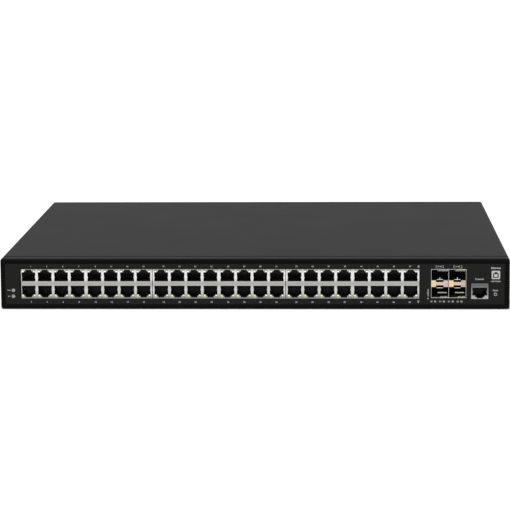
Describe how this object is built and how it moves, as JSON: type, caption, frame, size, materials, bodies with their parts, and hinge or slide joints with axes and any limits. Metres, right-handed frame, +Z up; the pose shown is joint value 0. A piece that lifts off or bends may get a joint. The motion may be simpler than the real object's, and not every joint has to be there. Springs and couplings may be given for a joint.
{
  "type": "rackmount network switch",
  "caption": "Flat metal rack switch with rows of network sockets, an optical module cage, a console socket and a reset pinhole in front, and fans and a mains inlet behind.",
  "frame": {"origin": "middle of the footprint, on the surface that the switch stands on", "axes": "+X to the right along the front, +Z up, the front with its sockets faces -Y"},
  "size_m": [0.44, 0.3512, 0.044],
  "materials": {
    "chassis_paint": "black powder coat, fine texture, satin",
    "front_film": "black printed polyester film, matt, with light grey print",
    "cover_screws": "black zinc, satin",
    "nickel": "bright nickel plate",
    "socket_plastic": "black moulded plastic",
    "cage_steel": "dull tin plate",
    "module_spacer": "pale, with copper-coloured contact fingers",
    "light_guide": "clear frosted moulding",
    "circuit_board": "green solder resist",
    "chip_package": "black epoxy",
    "heatsink_aluminium": "extruded, natural",
    "ferrite": "grey ferrite with yellow tape",
    "capacitor_sleeve": "dark blue sleeve",
    "choke_winding": "enamelled copper winding",
    "insulating_sheet": "translucent fibre sheet",
    "black_wire": "PVC insulation",
    "blue_wire": "PVC insulation",
    "earth_wire": "PVC insulation, green and yellow",
    "red_wire": "PVC insulation",
    "fan_plastic": "black glass-filled plastic"
  },
  "bodies": {
    "chassis": {"bottom_tray": "chassis_paint", "front_panel": "chassis_paint", "rear_panel": "chassis_paint", "top_cover": "chassis_paint", "front_film": "front_film", "cover_screw_left_1": "cover_screws", "cover_screw_right_1": "cover_screws", "cover_screw_left_2": "cover_screws", "cover_screw_right_2": "cover_screws", "cover_screw_left_3": "cover_screws", "cover_screw_right_3": "cover_screws", "ground_screw": "nickel", "port_block_shield_1": "nickel", "port_block_shield_2": "nickel", "port_block_shield_3": "nickel", "port_block_housing_1": "socket_plastic", "port_block_housing_2": "socket_plastic", "port_block_housing_3": "socket_plastic", "console_housing": "socket_plastic", "module_connector_left": "socket_plastic", "module_connector_right": "socket_plastic", "reset_switch": "socket_plastic", "mains_inlet": "socket_plastic", "module_cage": "cage_steel", "console_shield": "cage_steel", "module_spacer_left": "module_spacer", "module_spacer_right": "module_spacer", "status_light_guide": "light_guide", "module_light_guide": "light_guide", "main_board": "circuit_board", "power_board": "circuit_board", "switch_chip": "chip_package", "line_chip_1": "chip_package", "line_chip_2": "chip_package", "line_chip_3": "chip_package", "line_chip_4": "chip_package", "line_chip_5": "chip_package", "line_chip_6": "chip_package", "processor": "chip_package", "memory_chip": "chip_package", "flash_chip": "chip_package", "switch_chip_heatsink": "heatsink_aluminium", "primary_heatsink": "heatsink_aluminium", "secondary_heatsink": "heatsink_aluminium", "transformer": "ferrite", "bulk_capacitor": "capacitor_sleeve", "output_capacitor": "capacitor_sleeve", "line_choke": "choke_winding", "insulating_sheet": "insulating_sheet", "live_wire": "black_wire", "fan_lead_1": "black_wire", "fan_lead_2": "black_wire", "neutral_wire": "blue_wire", "earth_wire": "earth_wire", "supply_harness": "red_wire", "fan_frame_1": "fan_plastic", "fan_frame_2": "fan_plastic"},
    "fan_rotor_1": {"fan_rotor_1": "fan_plastic"},
    "fan_rotor_2": {"fan_rotor_2": "fan_plastic"},
    "reset_button": {"reset_button": "light_guide"}
  },
  "joints": [
    {"name": "fan_1_spin", "type": "hinge", "parent": "chassis", "child": "fan_rotor_1", "pos_m": [0.04, 0.16, 0.0224], "axis": [0, 1, 0], "continuous": true},
    {"name": "fan_2_spin", "type": "hinge", "parent": "chassis", "child": "fan_rotor_2", "pos_m": [0.13, 0.16, 0.0224], "axis": [0, 1, 0], "continuous": true},
    {"name": "reset_press", "type": "slide", "parent": "chassis", "child": "reset_button", "axis": [0, 1, 0], "range_m": [0, 0.0005], "stiffness_N_per_m": 800, "springref_m": -0.0005}
  ]
}
